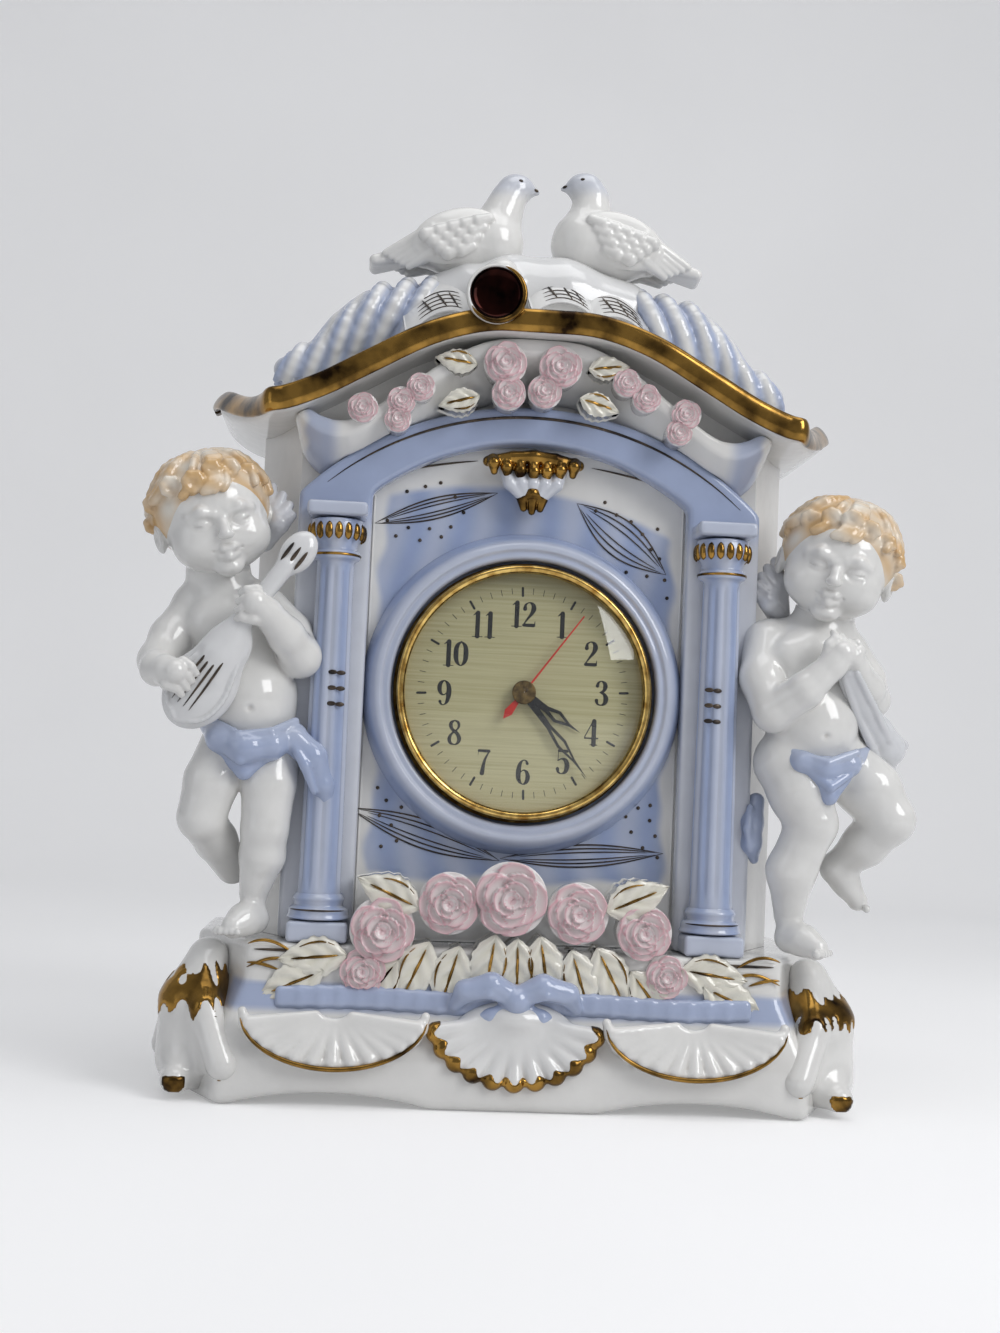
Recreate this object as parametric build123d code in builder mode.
from build123d import *

import os
from math import asin, cos, pi, radians, sin, sqrt

os.makedirs("parts", exist_ok=True)

# Figural mantel clock: a hollow porcelain temple case with two putti, two doves
# and applied roses, holding a round push-in quartz clock.
# Millimetres. X runs to the right, the front faces -Y, Z runs up from the rest.
# A distance to the front is named front and is measured along -Y from the
# plane halfway through the base.

# Case walls
wall = 4.5
overrun = 1.0

# Base, as a plan with canted front corners
base_height = 49.0
base_half_front = 84.0
base_half_side = 103.0
base_front = 46.0
base_cant_front = 6.0
base_back = 42.0
base_flare = 8.0
base_foot_height = 16.0
base_ledge_height = 12.0
base_arch_height = 4.0
base_arch_inner = 26.0
base_arch_outer = 88.0
vent_radius = 9.0
vent_back = 24.0

# Body of the case
body_half_front = 76.0
body_half_side = 90.0
body_front = 24.0
body_cant_front = -2.0
body_back = 40.0
access_radius = 39.0

# Roof slab: its underside follows one ogee from eaves to crown
eaves_height = 215.0
roof_rise = 31.0
roof_thickness = 8.0
roof_half_front = 86.0
roof_half_side = 107.0
roof_front = 46.0
roof_cant_front = -8.0
roof_back = 44.0
ogee_shares = [
    (0.17, 0.98), (0.34, 0.80), (0.52, 0.46), (0.66, 0.19), (0.79, 0.02), (0.88, 0.06), (1.0, 0.36),
]

# Frieze that slopes out under the roof
frieze_half_foot = 76.0
frieze_half_head = 80.0
frieze_lip_front = 40.0
frieze_lip_height = 5.0
frieze_foot_height = 20.0
frieze_steps = 40

# Arched frame round the painted panel
arch_half = 76.0
arch_spring = 193.0
arch_crown = 225.0
arch_front = 33.0
panel_half = 52.0
panel_spring = 194.0
panel_crown = 212.5

# Columns
column_x = 63.0
column_front = 36.0
column_radius = 6.8
column_neck_radius = 6.0
plinth_side = 20.0
plinth_height = 7.0
column_foot_radius = 9.2
column_foot_height = 8.0
capital_radius = 8.8
capital_height = 13.0
abacus_side = 19.0
abacus_height = 5.0
column_top = 189.0
flute_count = 12
flute_radius = 1.1

# Moulded ring round the dial
dial_height = 131.0
ring_outer_radius = 53.0
ring_crest_radius = 47.2
ring_crest_front = 34.0
ring_mouth_radius = 43.2
seat_front = 26.5
bore_radius = 39.5

# Clock insert: bezel, lens, spacer, dial and cup stack inside the bezel
bezel_radius = 42.5
bezel_front = 35.2
bezel_lip_radius = 38.9
bezel_lip_depth = 1.8
stack_radius = 40.2
lens_edge = 1.4
lens_rise = 6.0
lens_thickness = 1.5
spacer_width = 0.9
dial_thickness = 0.6
dial_hole_radius = 3.3
cup_flange = 1.0
cup_radius = 38.5
cup_inner_radius = 36.9
cup_floor = 1.4
grip_gap = 0.1
grip_fin_depth = 0.45
grip_front = 23.5
grip_depth = 10.0
grip_fin_count = 4

# Movement, drawn from its own centre on the dial axis
movement_half_width = 28.0
movement_top = 20.0
movement_bottom = 25.2
movement_depth = 16.0
movement_wall = 1.15
movement_corner = 3.0
bushing_radius = 3.2
bushing_length = 1.2

# Wheels: a module, teeth and a place for each pair
wheel_thickness = 0.8
layer_pitch = 1.5
first_layer_gap = 0.4
addendum_share = 0.7
dedendum_share = 0.9
tip_share = 0.26
root_share = 0.52
train_module = 0.22
third_module = 0.19
motion_module = 0.26
rotor_teeth = 8
intermediate_teeth = 48
intermediate_leaves = 10
seconds_teeth = 50
seconds_leaves = 8
third_teeth = 60
third_leaves = 8
centre_teeth = 64
cannon_leaves = 12
minute_teeth = 36
minute_leaves = 10
hour_teeth = 40
setting_leaves = 12
third_bearing = 120.0
intermediate_bearing = 30.0
rotor_bearing = 75.0
motion_bearing = 180.0
arbor_radius = 0.5
running_gap = 0.06
pivot_depth = 0.5
pivot_hole_depth = 0.7
cannon_radius = 1.2
hour_tube_radius = 1.9
magnet_radius = 2.3
magnet_length = 2.4
stem_radius = 1.0
knob_radius = 4.2
knob_length = 5.0
knob_ridge_count = 16
knob_ridge_radius = 0.35
tube_reach = 0.4

# Motor and electrics
stator_thickness = 1.2
stator_hole_radius = 2.9
stator_ring_radius = 4.0
stator_bar = 2.0
stator_left = 17.0
coil_left = 14.0
coil_right = 2.0
coil_height = 15.2
coil_radius = 2.9
coil_flange_radius = 3.3
coil_flange = 1.0
board_left = 26.0
board_right = 15.0
board_bottom = 3.0
board_top = 13.5
board_thickness = 0.8
chip_radius = 2.2
chip_height = 0.7

# Cell and its contacts
cell_radius = 7.1
cell_length = 49.5
cell_nub_radius = 2.7
cell_nub_length = 1.0
cell_gap = 0.3
cell_drop = 16.5
bay_half_length = 27.0
contact_thickness = 0.4
contact_half_height = 5.0
contact_half_depth = 4.0
contact_gap = 0.1
spring_tip_radius = 2.4

# Hands, drawn pointing to twelve and then turned to the time shown
hand_thickness = 0.4
hour_hand_step = 1.1
minute_hand_step = 2.3
second_hand_step = 3.5
dial_turn = -2.5
hour_hand_angle = 125.0
minute_hand_angle = 143.5
second_hand_angle = 38.5
hour_hand_length = 22.8
hour_hand_width = 4.2
minute_hand_length = 34.6
minute_hand_width = 3.6
hand_boss_radius = 3.6
second_hand_length = 32.0
second_hand_tail = 11.0
second_hand_width = 0.7
second_boss_radius = 2.4
cap_radius = 3.9
cap_thickness = 0.9

# Putti, in shares of their standing height from a place on the ledge:
# each row is a chain of (right, front, up, radius)
figure_height = 152.0
figure_x = 90.0
figure_front = 33.0
left_figure_shares = [
    [(-0.095, 0.0, 0.89, 0.125), (-0.075, 0.02, 0.81, 0.10)],
    [(-0.07, -0.01, 0.76, 0.055), (-0.045, -0.02, 0.68, 0.065)],
    [(-0.035, -0.01, 0.64, 0.095), (0.02, 0.0, 0.50, 0.10), (0.03, 0.0, 0.40, 0.102)],
    [(-0.115, -0.02, 0.665, 0.05), (-0.17, 0.03, 0.55, 0.043), (-0.12, 0.10, 0.52, 0.035)],
    [(0.045, -0.02, 0.67, 0.05), (0.115, 0.035, 0.575, 0.043), (0.02, 0.11, 0.68, 0.035)],
    [(-0.02, 0.0, 0.37, 0.075), (-0.065, 0.03, 0.215, 0.055), (-0.02, -0.11, 0.125, 0.038),
     (0.0, -0.16, 0.08, 0.03)],
    [(0.065, 0.0, 0.37, 0.078), (0.055, 0.03, 0.215, 0.058), (0.03, 0.0, 0.065, 0.04),
     (0.005, 0.075, 0.032, 0.03)],
    [(0.03, -0.12, 0.86, 0.045), (0.075, -0.15, 0.955, 0.025)],
    [(0.12, 0.02, 0.37, 0.04), (0.185, 0.01, 0.30, 0.03)],
]
lute_shares = [
    [(-0.105, 0.12, 0.485, 0.08), (-0.045, 0.12, 0.57, 0.055), (0.10, 0.115, 0.79, 0.022),
     (0.13, 0.10, 0.815, 0.03)],
]
right_figure_shares = [
    [(0.095, 0.0, 0.875, 0.125), (0.065, 0.03, 0.80, 0.10)],
    [(0.06, -0.015, 0.75, 0.055), (0.03, -0.02, 0.67, 0.065)],
    [(0.02, 0.0, 0.625, 0.095), (0.03, 0.02, 0.50, 0.10), (0.055, 0.01, 0.40, 0.102)],
    [(-0.07, -0.01, 0.66, 0.05), (-0.075, 0.06, 0.50, 0.045), (0.065, 0.10, 0.635, 0.035)],
    [(0.11, -0.03, 0.655, 0.05), (0.165, -0.015, 0.55, 0.043), (0.085, 0.085, 0.62, 0.037)],
    [(-0.025, 0.02, 0.36, 0.078), (0.005, 0.065, 0.23, 0.058), (-0.015, 0.01, 0.07, 0.04),
     (0.02, 0.085, 0.032, 0.03)],
    [(0.12, 0.0, 0.36, 0.075), (0.215, 0.035, 0.295, 0.055), (0.13, -0.05, 0.185, 0.04),
     (0.18, -0.06, 0.115, 0.03)],
]
drapery_shares = [
    [(0.09, 0.08, 0.60, 0.03), (0.20, -0.01, 0.475, 0.035), (0.26, -0.03, 0.455, 0.02)],
    [(-0.085, -0.04, 0.31, 0.03), (-0.09, -0.03, 0.22, 0.035)],
]

# Doves facing each other, in shares of their length from a place over the
# crest: each row is a chain of (inwards, front, up, radius)
dove_length = 58.0
dove_x = 27.0
dove_front = 8.0
dove_height = 286.0
right_dove_raise = 2.0
dove_shares = [
    [(0.21, 0.0, 0.02, 0.175), (-0.16, -0.02, -0.03, 0.12)],
    [(0.22, 0.0, 0.10, 0.13), (0.28, 0.0, 0.25, 0.09), (0.31, 0.0, 0.345, 0.10)],
    [(0.37, 0.0, 0.37, 0.04), (0.45, 0.0, 0.365, 0.015)],
    [(-0.18, -0.02, -0.05, 0.085), (-0.50, -0.03, -0.17, 0.05)],
    [(0.05, 0.13, 0.03, 0.085), (-0.29, 0.09, -0.08, 0.05)],
    [(0.05, -0.13, 0.03, 0.085), (-0.29, -0.12, -0.08, 0.05)],
]

# Crest of drapery on the roof, in shares of its half width from its centre
crest_half = 86.0
crest_front = 9.0
crest_height = 256.0
crest_mound_shares = [[(-0.30, 0.0, 0.10, 0.17), (0.0, 0.06, 0.13, 0.19), (0.32, 0.0, 0.12, 0.17)]]
crest_drape_shares = [
    [(0.42, 0.0, 0.02, 0.15), (0.62, 0.0, 0.0, 0.145), (0.73, 0.0, -0.065, 0.12),
     (0.81, 0.0, -0.15, 0.10), (0.97, -0.02, -0.21, 0.065)],
]

# Horn mouth and music sheets that lean on the crest
horn_x = -15.5
horn_front = 49.0
horn_height = 257.0
horn_radius = 9.6
horn_tail_radius = 5.0
horn_length = 34.0
horn_lift = 5.0
sheet_radius = 12.0
sheet_thickness = 2.6
sheet_length = 24.0
sheet_front = 40.0
sheet_height = 254.0
sheet_place_shares = [(-2.75, -0.35), (0.67, 0.1), (2.17, -0.1)]

# Roses, in shares of a garland's half width: (right, up, radius)
pediment_half = 60.0
pediment_height = 228.0
pediment_rose_front = 41.0
pediment_rose_shares = [
    (-0.19, 0.15, 0.12), (0.11, 0.145, 0.12), (-0.165, -0.015, 0.095), (0.03, 0.005, 0.095),
    (-0.64, -0.01, 0.08), (-0.74, -0.09, 0.08), (-0.945, -0.14, 0.085), (-0.755, -0.19, 0.075),
    (0.475, 0.08, 0.08), (0.585, 0.0, 0.08), (0.805, -0.075, 0.085), (0.77, -0.175, 0.075),
]
garland_half = 50.0
garland_height = 56.0
garland_front = 47.0
garland_rose_shares = [
    (-0.85, -0.04, 0.21), (-0.96, -0.30, 0.15), (-0.44, 0.14, 0.20), (-0.055, 0.18, 0.24),
    (0.375, 0.105, 0.20), (0.80, 0.0, 0.18), (0.95, -0.27, 0.14),
]
rose_profile_shares = [(0.9, 0.0), (1.0, 0.2), (0.85, 0.5), (0.6, 0.6), (0.55, 0.85), (0.3, 1.0)]
rose_rise_share = 0.55

# Leaves, in the same shares: (right, up, bearing in degrees)
leaf_width_share = 0.42
leaf_rise = 1.5
pediment_leaf_length = 14.0
pediment_leaf_shares = [(-0.34, 0.13, 172), (-0.32, -0.04, 196), (0.26, 0.14, 8), (0.22, -0.02, -16)]
garland_leaf_length = 22.0
garland_leaf_shares = [
    (-0.55, -0.10, 246), (-0.14, -0.04, 262), (0.14, -0.04, 280), (0.50, -0.10, 298),
    (-1.06, -0.20, 186), (1.04, -0.22, -8), (-0.62, 0.10, 156), (0.55, 0.12, 24),
]

# Fans of ribs on the base: the centre shell and a swag on each side
fan_rib_count = 9
fan_spread = 150.0
fan_root_share = 0.3
shell_half = 25.0
shell_hinge_height = 29.0
shell_drop = 19.0
shell_rib_radius = 3.6
shell_front = 55.0
swag_x = 56.0
swag_half = 27.0
swag_hinge_height = 29.0
swag_drop = 15.0
swag_rib_radius = 2.6
swag_front = 58.0

# Ribbon round the base, with its knot
ribbon_half = 72.0
ribbon_height = 32.5
ribbon_width = 5.0
ribbon_front = 50.5
knot_half = 18.0
knot_rise = 5.0
knot_radius = 4.2

# Corner shells and toes
corner_rib_count = 5
corner_x = 98.0
corner_front = 34.0
corner_height = 43.0
corner_foot_x = 101.0
corner_foot_height = 13.0
corner_reach = 12.0
corner_sweep = 22.0
corner_rib_radius = 5.0
toe_x = 104.0
toe_front = 48.0
toe_radius = 5.0

# Valance under the crown of the arch
valance_half = 14.0
valance_top = 207.0
valance_drop = 4.0
valance_fold_radius = 3.6
valance_fold_count = 6
valance_front = 31.0
tassel_radius = 5.6
tassel_tip_radius = 2.8
tassel_height = 201.0
tassel_length = 9.0


def spot(x, front, z):
    """A point from its distances to the right, to the front and up."""
    return Vector(x, -front, z)


def plan_at(height, half_front, half_side, front, cant_front, back):
    """A level plan with canted front corners."""
    with BuildSketch(Plane.XY.offset(height)) as plan:
        with BuildLine():
            Polyline(
                (-half_front, -front),
                (half_front, -front),
                (half_side, -cant_front),
                (half_side, back),
                (-half_side, back),
                (-half_side, -cant_front),
                close=True,
            )
        make_face()
    return plan.sketch


def base_plan(height, flare):
    """The base's plan at a height, standing out by a flare."""
    return plan_at(height, base_half_front + flare, base_half_side + flare, base_front + flare,
                   base_cant_front + flare, base_back + flare / 2)


def body_plan(height, inset):
    """The body's plan at a height, drawn in by an inset."""
    return plan_at(height, body_half_front - inset, body_half_side - inset, body_front - inset,
                   body_cant_front - inset, body_back - inset)


def ogee_points(raise_by):
    """Points along the roof's ogee, from left to right, raised by a height."""
    right = [
        (roof_half_side * across, eaves_height + roof_rise * up + raise_by)
        for across, up in ogee_shares
    ]
    left = [(-x, z) for x, z in reversed(right)]
    return left + [(0, eaves_height + roof_rise + raise_by)] + right


def beyond_ogee(front, raise_by, level):
    """An upright face between the raised ogee and a level above or below it."""
    points = ogee_points(raise_by)
    first, last = points[0], points[-1]
    with BuildSketch(Plane.XZ.offset(front)) as region:
        with BuildLine():
            Spline(points)
            Polyline(last, (last[0] + wall, last[1]), (last[0] + wall, level),
                     (first[0] - wall, level), (first[0] - wall, first[1]), first)
        make_face()
    return region.sketch


def arch_at(front, half, spring, crown, bottom):
    """An upright face with a round-arched top."""
    with BuildSketch(Plane.XZ.offset(front)) as opening:
        with BuildLine():
            top = ThreePointArc((half, spring), (0, crown), (-half, spring))
            Polyline(top @ 1, (-half, bottom), (half, bottom), top @ 0)
        make_face()
    return opening.sketch


def limb(start, end, start_radius, end_radius):
    """Add a taper with round ends, from start to end, to the part being built."""
    along = (end - start).normalized()
    length = (end - start).length
    lean = asin((start_radius - end_radius) / length)
    across = Plane(origin=start, z_dir=along).x_dir
    touch = pi / 2 - lean
    near_mid = (pi + touch) / 2
    far_mid = touch / 2
    with BuildSketch(Plane(origin=start, x_dir=along, z_dir=across)) as profile:
        with BuildLine():
            near = ThreePointArc(
                (-start_radius, 0),
                (start_radius * cos(near_mid), start_radius * sin(near_mid)),
                (start_radius * cos(touch), start_radius * sin(touch)),
            )
            far = ThreePointArc(
                (length + end_radius * cos(touch), end_radius * sin(touch)),
                (length + end_radius * cos(far_mid), end_radius * sin(far_mid)),
                (length + end_radius, 0),
            )
            Line(near @ 1, far @ 0)
            Line(far @ 1, near @ 0)
        make_face()
    revolve(profile.sketch, axis=Axis(start, along))


def chain(joints):
    """Add limbs between each point and the next, given as (point, radius)."""
    for (start, start_radius), (end, end_radius) in zip(joints, joints[1:]):
        limb(start, end, start_radius, end_radius)


def turned(points):
    """Add a shape turned about the dial axis, from (radius, front) points."""
    with BuildSketch(Plane(origin=(0, 0, dial_height), x_dir=(1, 0, 0), z_dir=(0, 0, -1))) as profile:
        with BuildLine():
            Polyline(*points, close=True)
        make_face()
    revolve(profile.sketch, axis=Axis((0, 0, dial_height), (0, 1, 0)))


def disc_at(place, radius, front, thickness, mode=Mode.ADD):
    """Add a round bar along the dial axis, from front backwards, at (x, z)."""
    with BuildSketch(Plane.XZ.offset(front - thickness)) as profile:
        with Locations(place):
            Circle(radius)
    extrude(profile.sketch, amount=thickness, mode=mode)


def block_at(left, right, bottom, top, front, thickness, mode=Mode.ADD):
    """Add a block between X and Z limits, from front backwards."""
    with BuildSketch(Plane.XZ.offset(front - thickness)) as profile:
        with Locations(((left + right) / 2, (bottom + top) / 2)):
            Rectangle(right - left, top - bottom)
    extrude(profile.sketch, amount=thickness, mode=mode)


def save(piece, label):
    """Label a finished piece and write it under its own name."""
    piece.part.label = label
    export_step(piece.part, f"parts/{label}.step")


# Base

with BuildPart() as base_block:
    extrude(base_plan(0, base_flare), amount=base_foot_height)
    loft([base_plan(base_foot_height, base_flare), base_plan(base_height - base_ledge_height, 0)],
         ruled=True)
    extrude(base_plan(base_height - base_ledge_height, 0), amount=base_ledge_height)

base_outer = base_block.part

with BuildPart() as base_plinth:
    add(base_outer)
    extrude(base_plan(2 * wall, -wall), amount=base_height - 3 * wall, mode=Mode.SUBTRACT)
    extrude(body_plan(base_height - 2 * wall, wall), amount=2 * wall + overrun, mode=Mode.SUBTRACT)
    with BuildSketch(Plane.XY):
        with Locations((0, vent_back)):
            Circle(vent_radius)
    extrude(amount=3 * wall, mode=Mode.SUBTRACT)
    for side in (-1, 1):
        with BuildSketch(Plane.XZ.offset(-base_back - base_flare)):
            with BuildLine():
                arch = ThreePointArc(
                    (side * base_arch_inner, 0),
                    (side * (base_arch_inner + base_arch_outer) / 2, base_arch_height),
                    (side * base_arch_outer, 0),
                )
                Line(arch @ 1, arch @ 0)
            make_face()
        extrude(amount=base_front + base_back + 2 * base_flare, mode=Mode.SUBTRACT)
save(base_plinth, "base_plinth")


# Case body: hollow, with the dial opening in front and the access opening behind

ceiling = eaves_height + 2 * roof_rise + roof_thickness
body_depth = body_front + body_back + 2 * overrun

with BuildPart() as body_block:
    extrude(body_plan(base_height, 0), amount=eaves_height + roof_rise - base_height)
    extrude(beyond_ogee(-body_back - overrun, 0, ceiling), amount=body_depth, mode=Mode.SUBTRACT)

body_outer = body_block.part

with BuildPart() as body_hollow:
    extrude(body_plan(base_height - overrun, wall), amount=eaves_height + roof_rise - base_height)
    extrude(beyond_ogee(-body_back - overrun, -wall, ceiling), amount=body_depth, mode=Mode.SUBTRACT)

with BuildPart() as case_body:
    add(body_outer)
    add(body_hollow.part, mode=Mode.SUBTRACT)
    disc_at((0, dial_height), bore_radius, body_front + overrun, wall + 2 * overrun, Mode.SUBTRACT)
    disc_at((0, dial_height), access_radius, -body_back + wall + overrun, wall + 2 * overrun, Mode.SUBTRACT)
save(case_body, "case_body")


# Arched frame in front of the body

with BuildPart() as arch_frame:
    extrude(arch_at(body_front, arch_half, arch_spring, arch_crown, base_height),
            amount=arch_front - body_front)
    extrude(arch_at(body_front, panel_half, panel_spring, panel_crown, base_height),
            amount=arch_front - body_front, mode=Mode.SUBTRACT)
save(arch_frame, "arch_frame")


# Roof slab

roof_depth = roof_front + roof_back + 2 * overrun

with BuildPart() as cornice:
    extrude(
        plan_at(eaves_height - overrun, roof_half_front, roof_half_side, roof_front, roof_cant_front,
                roof_back),
        amount=2 * roof_rise + roof_thickness,
    )
    extrude(beyond_ogee(-roof_back - overrun, roof_thickness, ceiling + roof_thickness), amount=roof_depth,
            mode=Mode.SUBTRACT)
    extrude(beyond_ogee(-roof_back - overrun, 0, eaves_height - 2 * overrun), amount=roof_depth,
            mode=Mode.SUBTRACT)
save(cornice, "cornice")


# Frieze that slopes out under the roof

def frieze_section(front, half, drop):
    """The frieze between the ogee and a lowered copy of it."""
    with BuildLine() as ogee:
        Spline([(x * half / roof_half_side, z) for x, z in ogee_points(0)])
    reach = [ogee.line @ (step / frieze_steps) for step in range(frieze_steps + 1)]
    high = [(point.X, point.Y) for point in reach]
    low = [(point.X, point.Y - drop) for point in reversed(reach)]
    with BuildSketch(Plane.XZ.offset(front)) as section:
        with BuildLine():
            Polyline(*high, *low, close=True)
        make_face()
    return section.sketch


with BuildPart() as frieze:
    loft([frieze_section(body_front, frieze_half_foot, frieze_foot_height),
          frieze_section(frieze_lip_front, frieze_half_head, frieze_lip_height)], ruled=True)
    add(cornice.part, mode=Mode.SUBTRACT)
    add(arch_frame.part, mode=Mode.SUBTRACT)
    add(frieze.solids().sort_by(SortBy.VOLUME)[-1], mode=Mode.REPLACE)
save(frieze, "frieze")


# Columns, half sunk in the frame

def column(side):
    """One column from the base's ledge to the arch, cut where the frame stands."""
    foot = base_height + plinth_height
    shaft_foot = foot + column_foot_height
    shaft_head = column_top - abacus_height - capital_height
    neck = (column_radius + column_neck_radius) / 2
    bead = capital_radius - column_radius
    profile_points = [
        (0, foot),
        (column_foot_radius, foot),
        (column_foot_radius, foot + column_foot_height / 3),
        (column_radius + bead / 3, foot + column_foot_height / 2),
        (column_foot_radius - bead / 2, foot + column_foot_height * 3 / 4),
        (column_radius, shaft_foot),
        (column_neck_radius, shaft_head),
        (column_neck_radius + bead, shaft_head + capital_height / 6),
        (neck, shaft_head + capital_height / 3),
        (capital_radius, shaft_head + capital_height / 2),
        (capital_radius, shaft_head + capital_height * 4 / 5),
        (neck + bead / 2, column_top - abacus_height),
        (0, column_top - abacus_height),
    ]
    place = Plane(origin=spot(side * column_x, column_front, 0), x_dir=(1, 0, 0), z_dir=(0, -1, 0))
    with BuildPart() as one:
        with BuildSketch(place):
            with BuildLine():
                Polyline(*profile_points, close=True)
            make_face()
        revolve(axis=Axis(place.origin, (0, 0, 1)))
        with BuildSketch(Plane(origin=place.origin + Vector(0, 0, shaft_foot))):
            with PolarLocations(column_radius + flute_radius / 2, flute_count):
                Circle(flute_radius)
        extrude(amount=shaft_head - shaft_foot, mode=Mode.SUBTRACT)
        with BuildSketch(Plane(origin=place.origin + Vector(0, 0, base_height))):
            Rectangle(plinth_side, plinth_side)
        extrude(amount=plinth_height)
        with BuildSketch(Plane(origin=place.origin + Vector(0, 0, column_top - abacus_height))):
            Rectangle(abacus_side, abacus_side)
        extrude(amount=abacus_height)
        add(arch_frame.part, mode=Mode.SUBTRACT)
    return one


left_column = column(-1)
save(left_column, "left_column")
right_column = column(1)
save(right_column, "right_column")


# Moulded ring round the dial, with the seat for the insert

with BuildPart() as dial_surround:
    turned([
        (bore_radius, body_front),
        (bore_radius, seat_front),
        (ring_mouth_radius, seat_front),
        (ring_mouth_radius, ring_crest_front - (ring_crest_radius - ring_mouth_radius) / 2),
        ((ring_mouth_radius + ring_crest_radius) / 2, ring_crest_front - wall / 6),
        (ring_crest_radius, ring_crest_front),
        ((ring_crest_radius + ring_outer_radius) / 2, ring_crest_front - wall / 2),
        (ring_outer_radius - wall / 5, (ring_crest_front + body_front) / 2 - wall / 2),
        (ring_outer_radius, body_front),
    ])
    add(arch_frame.part, mode=Mode.SUBTRACT)
save(dial_surround, "dial_surround")


# Insert: what stacks up in front of the porcelain seat

flange_front = seat_front + cup_flange
dial_front = flange_front + dial_thickness
lip_back = bezel_front - bezel_lip_depth
lens_back = lip_back - lens_edge
movement_back = flange_front - movement_depth
cup_back = movement_back - cup_floor

with BuildPart() as bezel:
    turned([
        (stack_radius, seat_front),
        (bezel_radius, seat_front),
        (bezel_radius, seat_front + 2 * bezel_lip_depth),
        (bezel_radius - spacer_width, bezel_front - 2 * bezel_lip_depth),
        (bezel_radius - spacer_width, bezel_front - bezel_lip_depth / 2),
        (stack_radius, bezel_front),
        (bezel_lip_radius + spacer_width / 2, bezel_front - bezel_lip_depth / 4),
        (bezel_lip_radius, lip_back + bezel_lip_depth / 3),
        (bezel_lip_radius, lip_back),
        (stack_radius, lip_back),
    ])
save(bezel, "bezel")


def dome_arc(radius, edge_front, rise):
    """Three points of a dome's arc: its edge, its middle and its apex."""
    sphere = (radius ** 2 + rise ** 2) / (2 * rise)
    half = radius / 2
    apex = edge_front + rise
    return (radius, edge_front), (half, apex - sphere + sqrt(sphere ** 2 - half ** 2)), (0, apex)


with BuildPart() as lens:
    with BuildSketch(Plane(origin=(0, 0, dial_height), x_dir=(1, 0, 0), z_dir=(0, 0, -1))):
        with BuildLine():
            outer = ThreePointArc(*dome_arc(bezel_lip_radius - contact_gap, lip_back, lens_rise))
            inner = ThreePointArc(*dome_arc(bezel_lip_radius - lens_thickness, lens_back, lens_rise))
            Polyline(outer @ 0, (stack_radius, lip_back), (stack_radius, lens_back), inner @ 0)
            Line(outer @ 1, inner @ 1)
        make_face()
    revolve(axis=Axis((0, 0, dial_height), (0, 1, 0)))
save(lens, "lens")

with BuildPart() as spacer_ring:
    turned([
        (stack_radius - spacer_width, dial_front),
        (stack_radius, dial_front),
        (stack_radius, lens_back),
        (stack_radius - spacer_width, lens_back),
    ])
save(spacer_ring, "spacer_ring")

with BuildPart() as dial:
    disc_at((0, dial_height), stack_radius, dial_front, dial_thickness)
    disc_at((0, dial_height), dial_hole_radius, dial_front, dial_thickness, Mode.SUBTRACT)
save(dial, "dial")


# Wheel places, from the dial axis outwards

def beside(place, distance, bearing):
    """A place at a distance and a bearing in degrees from another."""
    x, z = place
    return x + distance * cos(radians(bearing)), z + distance * sin(radians(bearing))


centre_place = (0, dial_height)
third_distance = third_module * (third_teeth + seconds_leaves) / 2
centre_module = 2 * third_distance / (centre_teeth + third_leaves)
intermediate_distance = train_module * (intermediate_leaves + seconds_teeth) / 2
rotor_distance = train_module * (rotor_teeth + intermediate_teeth) / 2
motion_distance = motion_module * (cannon_leaves + minute_teeth) / 2
hour_module = 2 * motion_distance / (minute_leaves + hour_teeth)
third_place = beside(centre_place, third_distance, third_bearing)
intermediate_place = beside(centre_place, intermediate_distance, intermediate_bearing)
rotor_place = beside(intermediate_place, rotor_distance, rotor_bearing)
minute_place = beside(centre_place, motion_distance, motion_bearing)
setting_place = beside(minute_place, motion_module * (setting_leaves + minute_teeth) / 2, motion_bearing)

train_front = flange_front - movement_wall
train_back = movement_back + movement_wall
cell_front = movement_back + cell_radius + cell_gap
cell_height = dial_height - cell_drop
bay_top = cell_height + cell_radius + 2 * cell_gap
bay_bottom = cell_height - cell_radius - 2 * cell_gap


def layer(index):
    """The front face of a layer of wheels, counted from the dial backwards."""
    return train_front - first_layer_gap - index * layer_pitch


# Cup behind the dial, with windows for the cell and the setting knob

with BuildPart() as insert_cup:
    turned([
        (cup_inner_radius, cup_back),
        (cup_inner_radius, flange_front),
        (stack_radius, flange_front),
        (stack_radius, seat_front),
        (cup_radius, seat_front),
        (cup_radius, cup_back),
    ])
    disc_at(centre_place, cup_inner_radius, movement_back, cup_floor)
    block_at(-bay_half_length, bay_half_length, bay_bottom, bay_top, movement_back, cup_floor, Mode.SUBTRACT)
    disc_at(setting_place, knob_radius + cell_gap, movement_back, cup_floor, Mode.SUBTRACT)
save(insert_cup, "insert_cup")

with BuildPart() as grip_band:
    fin_pitch = grip_depth / grip_fin_count
    fins = []
    for index in range(grip_fin_count):
        fin_front = grip_front - index * fin_pitch
        fins += [
            (bore_radius - grip_gap - grip_fin_depth, fin_front),
            (bore_radius - grip_gap, fin_front - fin_pitch / 3),
            (bore_radius - grip_gap - grip_fin_depth, fin_front - fin_pitch * 2 / 3),
        ]
    turned([(cup_radius, grip_front)] + fins + [(cup_radius, grip_front - grip_depth)])
save(grip_band, "grip_band")


# Movement case and its back cover

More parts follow.
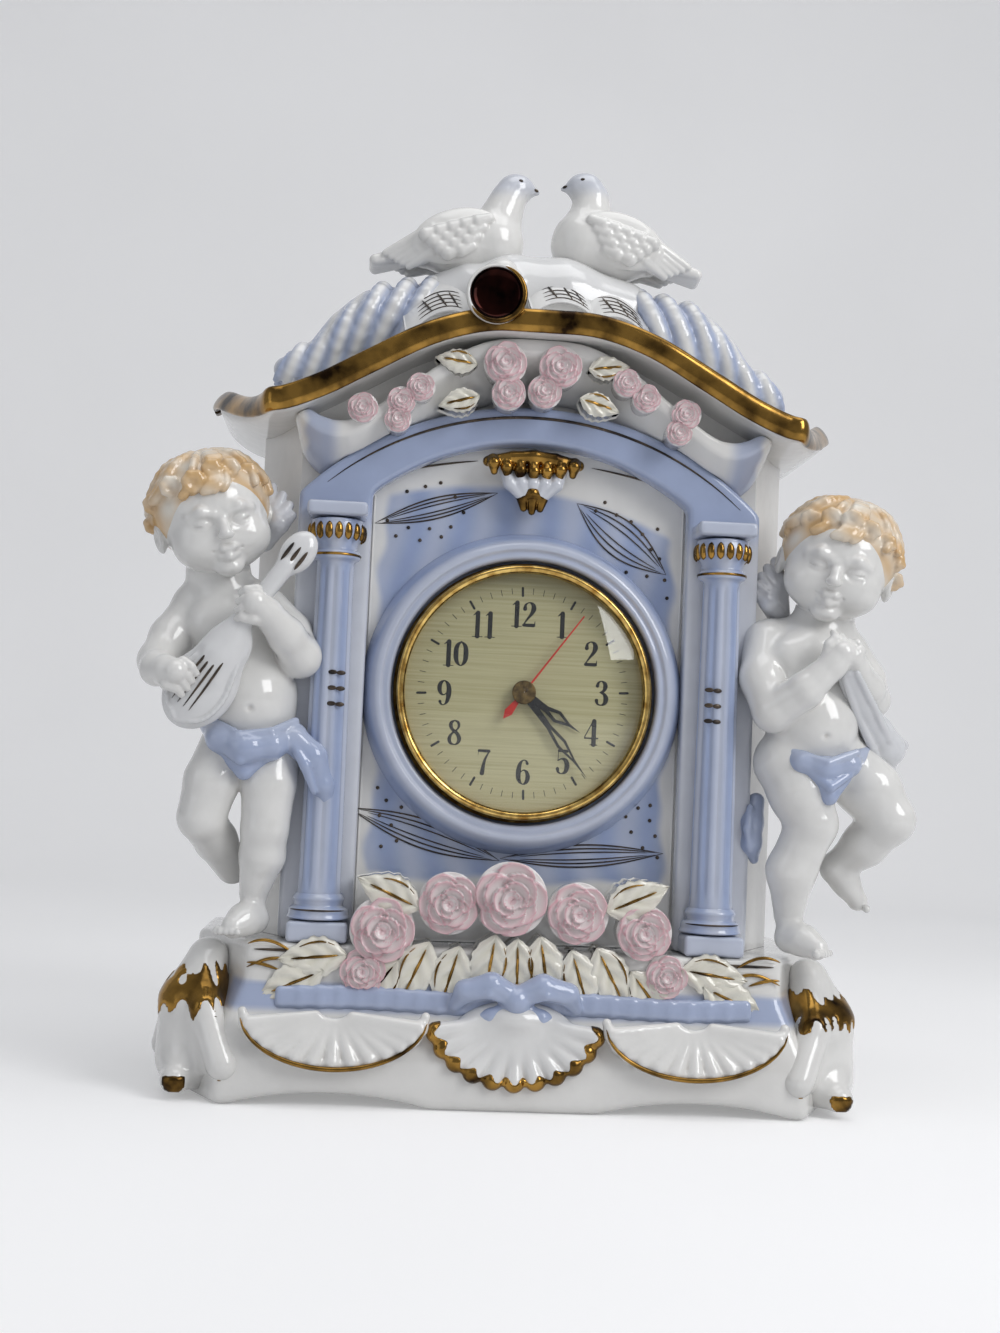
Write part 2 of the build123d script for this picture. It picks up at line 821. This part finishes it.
with BuildPart() as movement_case:
    shell_left, shell_right = -movement_half_width, movement_half_width
    shell_bottom, shell_top = dial_height - movement_bottom, dial_height + movement_top
    block_at(shell_left, shell_right, shell_bottom, shell_top, flange_front, movement_depth)
    fillet(movement_case.edges().filter_by(Axis.Y), radius=movement_corner)
    block_at(shell_left + movement_wall, shell_right - movement_wall, bay_top + movement_wall,
             shell_top - movement_wall, train_front, movement_depth, Mode.SUBTRACT)
    block_at(-bay_half_length, bay_half_length, bay_bottom, bay_top,
             cell_front + cell_radius + contact_gap, movement_depth, Mode.SUBTRACT)
    disc_at(centre_place, bushing_radius, flange_front + bushing_length, bushing_length)
    disc_at(centre_place, hour_tube_radius + running_gap, flange_front + bushing_length,
            bushing_length + movement_wall, Mode.SUBTRACT)
    for place in (third_place, intermediate_place, rotor_place, setting_place):
        disc_at(place, arbor_radius + running_gap, train_front + pivot_hole_depth, pivot_hole_depth,
                Mode.SUBTRACT)
    disc_at(minute_place, arbor_radius, train_front, train_front - layer(2) - running_gap)
save(movement_case, "movement_case")

with BuildPart() as movement_cover:
    cover_gap = running_gap
    block_at(shell_left + movement_wall + cover_gap, shell_right - movement_wall - cover_gap,
             bay_top + movement_wall + cover_gap, shell_top - movement_wall - cover_gap, train_back,
             movement_wall)
    disc_at(setting_place, stem_radius + running_gap, train_back, movement_wall, Mode.SUBTRACT)
    for place in (centre_place, third_place, intermediate_place, rotor_place):
        disc_at(place, arbor_radius + running_gap, train_back, pivot_hole_depth, Mode.SUBTRACT)
save(movement_cover, "movement_cover")


# Toothed wheels

def toothed(place, module, teeth, tooth_angle):
    """The front view of a toothed wheel, with a tooth at the given angle."""
    pitch_radius = module * teeth / 2
    tip_radius = pitch_radius + addendum_share * module
    root_radius = pitch_radius - dedendum_share * module
    step = 2 * pi / teeth
    x, z = place
    outline = []
    for index in range(teeth):
        middle = tooth_angle + index * step
        for radius, share in ((root_radius, -root_share), (tip_radius, -tip_share),
                              (tip_radius, tip_share), (root_radius, root_share)):
            angle = middle + share * step / 2
            outline.append((x + radius * cos(angle), z + radius * sin(angle)))
    return outline


def wheel(outline, front, thickness=wheel_thickness):
    """Add a toothed wheel from its outline, from front backwards."""
    with BuildSketch(Plane.XZ.offset(front - thickness)) as profile:
        with BuildLine():
            Polyline(*outline, close=True)
        make_face()
    extrude(profile.sketch, amount=thickness)


def meshed(tooth_angle, teeth, other_teeth, bearing):
    """The tooth angle that meshes a second wheel, at a bearing from the first."""
    line = radians(bearing)
    phase = (line - tooth_angle) * teeth / (2 * pi)
    return line + pi - 2 * pi / other_teeth * (1 / 2 - phase)


third_angle = meshed(0, seconds_leaves, third_teeth, third_bearing)
centre_angle = meshed(third_angle, third_leaves, centre_teeth, third_bearing + 180)
intermediate_angle = meshed(0, seconds_teeth, intermediate_leaves, intermediate_bearing)
rotor_angle = meshed(intermediate_angle, intermediate_teeth, rotor_teeth, rotor_bearing)
minute_angle = meshed(0, cannon_leaves, minute_teeth, motion_bearing)
hour_angle = meshed(minute_angle, minute_leaves, hour_teeth, motion_bearing + 180)
setting_angle = meshed(minute_angle, minute_teeth, setting_leaves, motion_bearing)

pivot_front = train_front + pivot_depth
pivot_back = train_back - pivot_depth
hour_hand_front = dial_front + hour_hand_step
minute_hand_front = dial_front + minute_hand_step
second_hand_front = dial_front + second_hand_step

with BuildPart() as rotor:
    disc_at(rotor_place, arbor_radius, pivot_front, pivot_front - pivot_back)
    wheel(toothed(rotor_place, train_module, rotor_teeth, rotor_angle), layer(5))
    disc_at(rotor_place, magnet_radius, layer(6) + tube_reach, magnet_length)
save(rotor, "rotor")

with BuildPart() as intermediate_wheel:
    disc_at(intermediate_place, arbor_radius, pivot_front, pivot_front - pivot_back)
    wheel(toothed(intermediate_place, train_module, intermediate_teeth, intermediate_angle), layer(5))
    wheel(toothed(intermediate_place, train_module, intermediate_leaves, intermediate_angle), layer(4))
save(intermediate_wheel, "intermediate_wheel")

with BuildPart() as seconds_wheel:
    disc_at(centre_place, arbor_radius, second_hand_front, second_hand_front - pivot_back)
    wheel(toothed(centre_place, train_module, seconds_teeth, 0), layer(4))
    wheel(toothed(centre_place, third_module, seconds_leaves, 0), layer(3))
save(seconds_wheel, "seconds_wheel")

with BuildPart() as third_wheel:
    disc_at(third_place, arbor_radius, pivot_front, pivot_front - pivot_back)
    wheel(toothed(third_place, third_module, third_teeth, third_angle), layer(3))
    wheel(toothed(third_place, centre_module, third_leaves, third_angle), layer(2))
save(third_wheel, "third_wheel")

with BuildPart() as centre_wheel:
    wheel(toothed(centre_place, centre_module, centre_teeth, centre_angle), layer(2))
    disc_at(centre_place, cannon_radius + running_gap, layer(2), wheel_thickness, Mode.SUBTRACT)
save(centre_wheel, "centre_wheel")

with BuildPart() as minute_arbor:
    cannon_length = minute_hand_front - layer(2) + wheel_thickness + tube_reach / 2
    disc_at(centre_place, cannon_radius, minute_hand_front, cannon_length)
    wheel(toothed(centre_place, motion_module, cannon_leaves, 0), layer(1))
    disc_at(centre_place, arbor_radius + running_gap, minute_hand_front, cannon_length, Mode.SUBTRACT)
save(minute_arbor, "minute_arbor")

with BuildPart() as minute_wheel:
    wheel(toothed(minute_place, motion_module, minute_teeth, minute_angle), layer(1))
    wheel(toothed(minute_place, hour_module, minute_leaves, minute_angle), layer(0),
          thickness=layer_pitch)
    disc_at(minute_place, arbor_radius + running_gap, layer(0), layer_pitch + wheel_thickness, Mode.SUBTRACT)
save(minute_wheel, "minute_wheel")

with BuildPart() as hour_wheel:
    disc_at(centre_place, hour_tube_radius, hour_hand_front, hour_hand_front - layer(0) + wheel_thickness)
    wheel(toothed(centre_place, hour_module, hour_teeth, hour_angle), layer(0))
    disc_at(centre_place, cannon_radius + running_gap, hour_hand_front,
            hour_hand_front - layer(0) + wheel_thickness, Mode.SUBTRACT)
save(hour_wheel, "hour_wheel")

with BuildPart() as setting_knob:
    knob_front = cup_back - running_gap
    disc_at(setting_place, arbor_radius, pivot_front, pivot_front - layer(1) + wheel_thickness)
    disc_at(setting_place, stem_radius, layer(1) - wheel_thickness, layer(1) - wheel_thickness - knob_front)
    wheel(toothed(setting_place, motion_module, setting_leaves, setting_angle), layer(1))
    disc_at(setting_place, knob_radius, knob_front, knob_length)
    with BuildSketch(Plane.XZ.offset(knob_front - knob_length)):
        with Locations(setting_place):
            with PolarLocations(knob_radius + knob_ridge_radius / 2, knob_ridge_count):
                Circle(2 * knob_ridge_radius)
    extrude(amount=knob_length, mode=Mode.SUBTRACT)
save(setting_knob, "setting_knob")


# Motor: coil on its bobbin, stator and circuit board

rotor_x, rotor_z = rotor_place
coil_z = dial_height + coil_height
coil_front = train_back + coil_flange_radius + contact_gap
stator_front = layer(6) + tube_reach - (magnet_length - stator_thickness) / 2

with BuildPart() as stator:
    half_bar = stator_bar / 2
    block_at(-stator_left, rotor_x + stator_ring_radius, coil_z - half_bar, coil_z + half_bar,
             stator_front, stator_thickness)
    block_at(-stator_left, -stator_left + stator_bar, rotor_z - half_bar, coil_z, stator_front,
             stator_thickness)
    block_at(-stator_left, rotor_x, rotor_z - half_bar, rotor_z + half_bar, stator_front, stator_thickness)
    block_at(rotor_x + stator_ring_radius - stator_bar, rotor_x + stator_ring_radius, rotor_z, coil_z,
             stator_front, stator_thickness)
    disc_at(rotor_place, stator_ring_radius, stator_front, stator_thickness)
    disc_at(rotor_place, stator_hole_radius, stator_front, stator_thickness, Mode.SUBTRACT)
save(stator, "stator")


def coil_disc(radius, left, right):
    """Add a round piece along the coil's axis, between two X places."""
    with BuildSketch(Plane.YZ.offset(left)) as profile:
        with Locations((-coil_front, coil_z)):
            Circle(radius)
    extrude(profile.sketch, amount=right - left)


with BuildPart() as coil_bobbin:
    coil_disc(coil_flange_radius, -coil_left, -coil_left + coil_flange)
    coil_disc(coil_flange_radius, coil_right - coil_flange, coil_right)
    coil_disc(stator_bar, -coil_left, coil_right)
    add(stator.part, mode=Mode.SUBTRACT)
save(coil_bobbin, "coil_bobbin")

with BuildPart() as coil_winding:
    coil_disc(coil_radius, -coil_left + coil_flange, coil_right - coil_flange)
    add(stator.part, mode=Mode.SUBTRACT)
    add(coil_bobbin.part, mode=Mode.SUBTRACT)
save(coil_winding, "coil_winding")

with BuildPart() as circuit_board:
    block_at(-board_left, -board_right, dial_height + board_bottom, dial_height + board_top,
             train_back + board_thickness, board_thickness)
    disc_at((-(board_left + board_right) / 2, dial_height + (board_bottom + board_top) / 2), chip_radius,
            train_back + board_thickness + chip_height, chip_height)
save(circuit_board, "circuit_board")


# Cell and its two contacts

def cell_disc(radius, left, right):
    """Add a round piece along the cell's axis, between two X places."""
    with BuildSketch(Plane.YZ.offset(left)) as profile:
        with Locations((-cell_front, cell_height)):
            Circle(radius)
    extrude(profile.sketch, amount=right - left)


with BuildPart() as cell:
    cell_disc(cell_radius, -cell_length / 2, cell_length / 2)
    fillet(cell.edges().filter_by(GeomType.CIRCLE), radius=cell_gap)
    cell_disc(cell_nub_radius, cell_length / 2, cell_length / 2 + cell_nub_length)
save(cell, "cell")


def contact_plate(side):
    """Add a flat contact against one end wall of the cell's bay."""
    outside = side * bay_half_length
    inside = side * (bay_half_length - contact_thickness)
    block_at(min(outside, inside), max(outside, inside), cell_height - contact_half_height,
             cell_height + contact_half_height, cell_front + contact_half_depth, 2 * contact_half_depth)


with BuildPart() as positive_contact:
    contact_plate(1)
    cell_disc(cell_nub_radius / 2, cell_length / 2 + cell_nub_length + contact_gap,
              bay_half_length - contact_thickness)
save(positive_contact, "positive_contact")

with BuildPart() as negative_contact:
    contact_plate(-1)
    with BuildSketch(Plane.YZ.offset(-bay_half_length + contact_thickness)) as spring_foot:
        with Locations((-cell_front, cell_height)):
            Circle(contact_half_depth)
    with BuildSketch(Plane.YZ.offset(-cell_length / 2 - contact_gap)) as spring_tip:
        with Locations((-cell_front, cell_height)):
            Circle(spring_tip_radius)
    loft([spring_foot.sketch, spring_tip.sketch], ruled=True)
save(negative_contact, "negative_contact")


# Hands, each on its own tube

def hand_plane(front, angle):
    """A front view plane on the dial axis whose upward direction is the hand's."""
    turn = radians(angle + dial_turn)
    return Plane(origin=spot(0, front, dial_height), x_dir=(cos(turn), 0, -sin(turn)), z_dir=(0, -1, 0))


def diamond_hand(front, angle, length, width, hole_radius):
    """Add a hand with a stem, an open diamond near its end and a point."""
    tail_end = length * 2 / 5
    diamond_end = length * 4 / 5
    waist = width / 4
    with BuildSketch(hand_plane(front - hand_thickness, angle)) as outline:
        with BuildLine():
            Polyline(
                (-waist * 3 / 2, 0),
                (-waist, tail_end),
                (-width / 2, (tail_end + diamond_end) / 2),
                (-waist / 2, diamond_end),
                (0, length),
                (waist / 2, diamond_end),
                (width / 2, (tail_end + diamond_end) / 2),
                (waist, tail_end),
                (waist * 3 / 2, 0),
                close=True,
            )
        make_face()
        Circle(hand_boss_radius)
        Circle(hole_radius, mode=Mode.SUBTRACT)
        with BuildLine():
            Polyline(
                (0, tail_end + waist),
                (-width / 2 + waist, (tail_end + diamond_end) / 2),
                (0, diamond_end - waist),
                (width / 2 - waist, (tail_end + diamond_end) / 2),
                close=True,
            )
        make_face(mode=Mode.SUBTRACT)
    extrude(outline.sketch, amount=hand_thickness)


with BuildPart() as hour_hand:
    diamond_hand(hour_hand_front, hour_hand_angle, hour_hand_length, hour_hand_width, hour_tube_radius)
save(hour_hand, "hour_hand")

with BuildPart() as minute_hand:
    diamond_hand(minute_hand_front, minute_hand_angle, minute_hand_length, minute_hand_width, cannon_radius)
save(minute_hand, "minute_hand")

with BuildPart() as second_hand:
    with BuildSketch(hand_plane(second_hand_front - hand_thickness, second_hand_angle)):
        with BuildLine():
            Polyline(
                (-second_hand_width / 2, 0),
                (-second_hand_width / 3, second_hand_length),
                (second_hand_width / 3, second_hand_length),
                (second_hand_width / 2, 0),
                (2 * second_hand_width, -second_hand_tail * 3 / 4),
                (0, -second_hand_tail),
                (-2 * second_hand_width, -second_hand_tail * 3 / 4),
                close=True,
            )
        make_face()
        Circle(second_boss_radius)
        Circle(arbor_radius, mode=Mode.SUBTRACT)
    extrude(amount=hand_thickness)
save(second_hand, "second_hand")

with BuildPart() as hand_cap:
    disc_at(centre_place, cap_radius, second_hand_front + cap_thickness, cap_thickness)
    fillet(hand_cap.edges().group_by(Axis.Y)[0], radius=cap_thickness / 2)
save(hand_cap, "hand_cap")


# Figures and ornaments, each cut where it meets what carries it

def chains(rows, size, place, side=1):
    """Add every chain of limbs in rows of shares, about a place."""
    for row in rows:
        chain([
            (place + spot(side * right * size, front * size, up * size), radius * size)
            for right, front, up, radius in row
        ])


def cut_by(*others):
    """Cut the part being built where other pieces stand."""
    for other in others:
        add(other, mode=Mode.SUBTRACT)


case_solids = (body_outer, base_outer, cornice.part, frieze.part, arch_frame.part)
left_place = spot(-figure_x, figure_front, base_height)
right_place = spot(figure_x, figure_front, base_height)

with BuildPart() as left_cherub:
    chains(left_figure_shares, figure_height, left_place)
    cut_by(body_outer, base_outer, arch_frame.part, left_column.part)
save(left_cherub, "left_cherub")

with BuildPart() as lute:
    chains(lute_shares, figure_height, left_place)
    cut_by(left_cherub.part)
save(lute, "lute")

with BuildPart() as right_cherub:
    chains(right_figure_shares, figure_height, right_place)
    cut_by(body_outer, base_outer, arch_frame.part, right_column.part)
save(right_cherub, "right_cherub")

with BuildPart() as right_drapery:
    chains(drapery_shares, figure_height, right_place)
    cut_by(body_outer, base_outer, arch_frame.part, right_column.part, right_cherub.part)
save(right_drapery, "right_drapery")

crest_place = spot(0, crest_front, crest_height)

with BuildPart() as crest_mound:
    chains(crest_mound_shares, crest_half, crest_place)
    cut_by(cornice.part)
save(crest_mound, "crest_mound")

with BuildPart() as crest_drapery:
    for side in (-1, 1):
        chains(crest_drape_shares, crest_half, crest_place, side)
    cut_by(cornice.part, crest_mound.part)
save(crest_drapery, "crest_drapery")


def dove(side, raise_by):
    """A dove that faces the middle of the crest."""
    with BuildPart() as bird:
        chains(dove_shares, dove_length, spot(side * dove_x, dove_front, dove_height + raise_by), -side)
        cut_by(crest_mound.part, crest_drapery.part)
    return bird


left_dove = dove(-1, 0)
save(left_dove, "left_dove")
right_dove = dove(1, right_dove_raise)
save(right_dove, "right_dove")

with BuildPart() as horn:
    with BuildSketch(Plane.XZ.offset(horn_front)):
        with Locations((horn_x, horn_height)):
            Circle(horn_radius)
    with BuildSketch(Plane.XZ.offset(horn_front - horn_length)):
        with Locations((horn_x, horn_height + horn_lift)):
            Circle(horn_tail_radius)
    loft(ruled=True)
    cut_by(cornice.part, crest_mound.part)
save(horn, "horn")

with BuildPart() as sheet_music:
    for right, up in sheet_place_shares:
        with BuildSketch(Plane.XZ.offset(sheet_front - sheet_length)) as hump:
            with Locations((right * sheet_radius, sheet_height + up * sheet_radius)):
                Circle(sheet_radius)
                Circle(sheet_radius - sheet_thickness, mode=Mode.SUBTRACT)
            with Locations((right * sheet_radius, sheet_height + (up - 1) * sheet_radius)):
                Rectangle(2 * sheet_radius, 2 * sheet_radius, mode=Mode.SUBTRACT)
        extrude(amount=sheet_length)
    cut_by(cornice.part, crest_mound.part, crest_drapery.part, horn.part, left_dove.part, right_dove.part)
save(sheet_music, "sheet_music")


def rose(x, front, z, radius, back):
    """Add a rose that faces the front, reaching back into what carries it."""
    rise = radius * rose_rise_share
    with BuildSketch(Plane(origin=spot(x, front, z), x_dir=(1, 0, 0), z_dir=(0, 0, -1))) as profile:
        with BuildLine():
            Polyline(
                (0, -back),
                (radius * rose_profile_shares[0][0], -back),
                *[(radius * out, rise * up) for out, up in rose_profile_shares],
                (0, rise),
                close=True,
            )
        make_face()
    revolve(profile.sketch, axis=Axis(spot(x, front, z), (0, 1, 0)))


def leaf(x, front, z, length, bearing, back):
    """Add a pointed leaf from its stalk, reaching back into what carries it."""
    along = (cos(radians(bearing)), 0, sin(radians(bearing)))
    with BuildSketch(Plane(origin=spot(x, front + leaf_rise, z), x_dir=along, z_dir=(0, -1, 0))) as blade:
        with BuildLine():
            edge = ThreePointArc((0, 0), (length / 2, length * leaf_width_share / 2), (length, 0))
            ThreePointArc(edge @ 1, (length / 2, -length * leaf_width_share / 2), edge @ 0)
        make_face()
    extrude(blade.sketch, amount=-leaf_rise - back)


def garland(rows, half, height, front, back):
    """Add the roses of a garland."""
    for right, up, radius in rows:
        rose(right * half, front, height + up * half, radius * half, back)


pediment_back = pediment_rose_front - body_front
garland_back = garland_front - body_front

with BuildPart() as pediment_roses:
    garland(pediment_rose_shares, pediment_half, pediment_height, pediment_rose_front, pediment_back)
    cut_by(*case_solids)
save(pediment_roses, "pediment_roses")

with BuildPart() as pediment_leaves:
    for right, up, bearing in pediment_leaf_shares:
        leaf(right * pediment_half, pediment_rose_front, pediment_height + up * pediment_half,
             pediment_leaf_length, bearing, pediment_back)
    cut_by(pediment_roses.part, *case_solids)
save(pediment_leaves, "pediment_leaves")

with BuildPart() as garland_roses:
    garland(garland_rose_shares, garland_half, garland_height, garland_front, garland_back)
    cut_by(dial_surround.part, left_column.part, right_column.part, *case_solids)
save(garland_roses, "garland_roses")

with BuildPart() as garland_leaves:
    for right, up, bearing in garland_leaf_shares:
        leaf(right * garland_half, garland_front, garland_height + up * garland_half,
             garland_leaf_length, bearing, garland_back)
    cut_by(garland_roses.part, dial_surround.part, left_column.part, right_column.part, *case_solids)
save(garland_leaves, "garland_leaves")


def fan(x, half, drop, hinge_height, rib_radius, front):
    """Add a fan of ribs that spreads downwards from its hinge."""
    hinge = spot(x, front - 2 * rib_radius, hinge_height)
    for index in range(fan_rib_count):
        turn = radians(fan_spread * (index / (fan_rib_count - 1) - 1 / 2))
        tip = spot(x + half * sin(turn), front - rib_radius / 2, hinge_height - drop * cos(turn))
        limb(hinge + (tip - hinge) * fan_root_share, tip, rib_radius / 2, rib_radius)


with BuildPart() as scallop_shell:
    fan(0, shell_half, shell_drop, shell_hinge_height, shell_rib_radius, shell_front)
    cut_by(base_outer, garland_leaves.part)
save(scallop_shell, "scallop_shell")

with BuildPart() as base_swags:
    for side in (-1, 1):
        fan(side * swag_x, swag_half, swag_drop, swag_hinge_height, swag_rib_radius, swag_front)
    cut_by(base_outer, scallop_shell.part, garland_leaves.part)
save(base_swags, "base_swags")

with BuildPart() as base_ribbon:
    block_at(-ribbon_half, ribbon_half, ribbon_height - ribbon_width / 2, ribbon_height + ribbon_width / 2,
             ribbon_front, ribbon_front - base_front + base_flare)
    for side in (-1, 1):
        chain([
            (spot(0, ribbon_front, ribbon_height + knot_rise / 2), knot_radius),
            (spot(side * knot_half / 2, ribbon_front, ribbon_height + knot_rise), knot_radius),
            (spot(side * knot_half, ribbon_front, ribbon_height), knot_radius * 2 / 3),
        ])
    cut_by(base_outer, scallop_shell.part, base_swags.part, garland_leaves.part, garland_roses.part)
save(base_ribbon, "base_ribbon")

with BuildPart() as corner_shells:
    for side in (-1, 1):
        for index in range(corner_rib_count):
            across = 2 * index / (corner_rib_count - 1) - 1
            hinge = spot(side * corner_x, corner_front, corner_height)
            foot = spot(side * (corner_foot_x + corner_reach * across), corner_front - corner_sweep * across,
                        corner_foot_height)
            limb(hinge + (foot - hinge) * fan_root_share, foot, corner_rib_radius * 2 / 3, corner_rib_radius)
        limb(
            spot(side * corner_x, corner_front, 2 * toe_radius),
            spot(side * toe_x, toe_front, toe_radius),
            toe_radius * 3 / 2,
            toe_radius * 4 / 5,
        )
    cut_by(base_outer, base_swags.part, left_cherub.part, right_cherub.part)
save(corner_shells, "corner_shells")

with BuildPart() as valance:
    block_at(-valance_half, valance_half, valance_top - valance_drop, valance_top + valance_fold_radius,
             valance_front, valance_front - body_front)
    for index in range(valance_fold_count):
        x = valance_half * (2 * index / (valance_fold_count - 1) - 1)
        limb(spot(x, valance_front, valance_top), spot(x, valance_front, valance_top - valance_drop),
             valance_fold_radius, valance_fold_radius * 4 / 5)
    limb(
        spot(0, valance_front, tassel_height),
        spot(0, valance_front - tassel_tip_radius, tassel_height - tassel_length),
        tassel_radius,
        tassel_tip_radius,
    )
    cut_by(arch_frame.part, body_outer, dial_surround.part)
save(valance, "valance")
